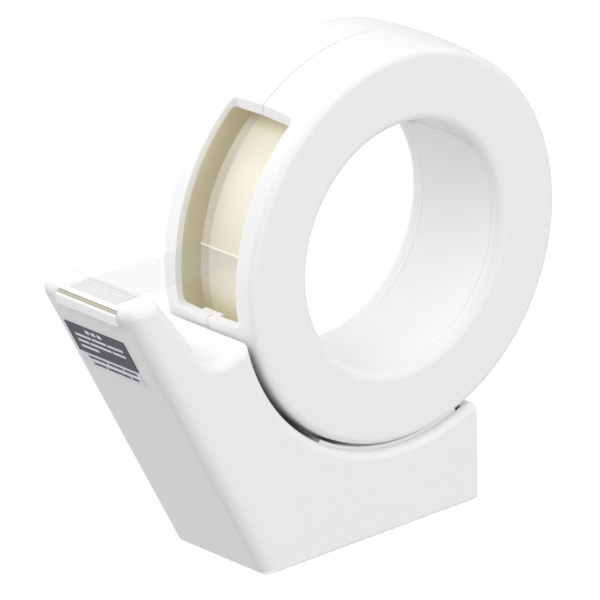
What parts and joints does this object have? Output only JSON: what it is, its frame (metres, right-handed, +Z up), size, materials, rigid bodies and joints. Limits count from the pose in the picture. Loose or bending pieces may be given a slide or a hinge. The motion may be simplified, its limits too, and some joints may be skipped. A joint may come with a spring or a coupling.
{
  "type": "tape dispenser",
  "caption": "Desk tape dispenser: a ring housing that opens sideways holds the tape roll, standing in the cradle of a hollow base whose head carries the cutting blade.",
  "frame": {"origin": "under the middle of the whole dispenser, on the surface that it stands on", "axes": "+X along the ring's axis towards the cover that comes off, -Y towards the cutting blade at the front, +Z up"},
  "size_m": [0.0348, 0.1466, 0.13],
  "materials": {
    "white_plastic": "satin moulded plastic",
    "inner_plastic": "satin moulded plastic",
    "screw_steel": "zinc plated",
    "cup_rubber": "soft, slightly glossy",
    "tape_core": "cream paper board",
    "wound_tape": "layers of clear film",
    "tape_film": "clear film",
    "blade_steel": "fine toothed edge",
    "dark_label": "printed film, no text",
    "white_label": "printed film, no text"
  },
  "bodies": {
    "base": {"base_shell": "white_plastic", "base_plate": "inner_plastic", "base_screw_1": "screw_steel", "base_screw_2": "screw_steel", "base_screw_3": "screw_steel", "base_screw_4": "screw_steel", "suction_cup": "cup_rubber", "suction_stud": "screw_steel", "suction_nut": "screw_steel", "ring_shell": "white_plastic", "ring_screw_1": "screw_steel", "ring_screw_2": "screw_steel", "tape_strand": "tape_film", "tape_rest": "white_plastic", "blade": "blade_steel", "blade_lip": "white_plastic", "label_upper": "dark_label", "label_lower": "white_label"},
    "cover": {"ring_cover": "white_plastic"},
    "lock": {"lock_slide": "white_plastic"},
    "roll": {"hub_ring": "inner_plastic", "tape_core": "tape_core", "tape_roll": "wound_tape"}
  },
  "joints": [
    {"name": "roll_spin", "type": "hinge", "parent": "base", "child": "roll", "pos_m": [0, 0.01994, 0.0766], "axis": [1, 0, 0], "continuous": true},
    {"name": "cover_slide", "type": "slide", "parent": "base", "child": "cover", "axis": [1, 0, 0], "range_m": [0, 0.04]},
    {"name": "lock_turn", "type": "hinge", "parent": "base", "child": "lock", "pos_m": [0, 0.01994, 0.0766], "axis": [1, 0, 0], "range_deg": [0, 12]}
  ]
}
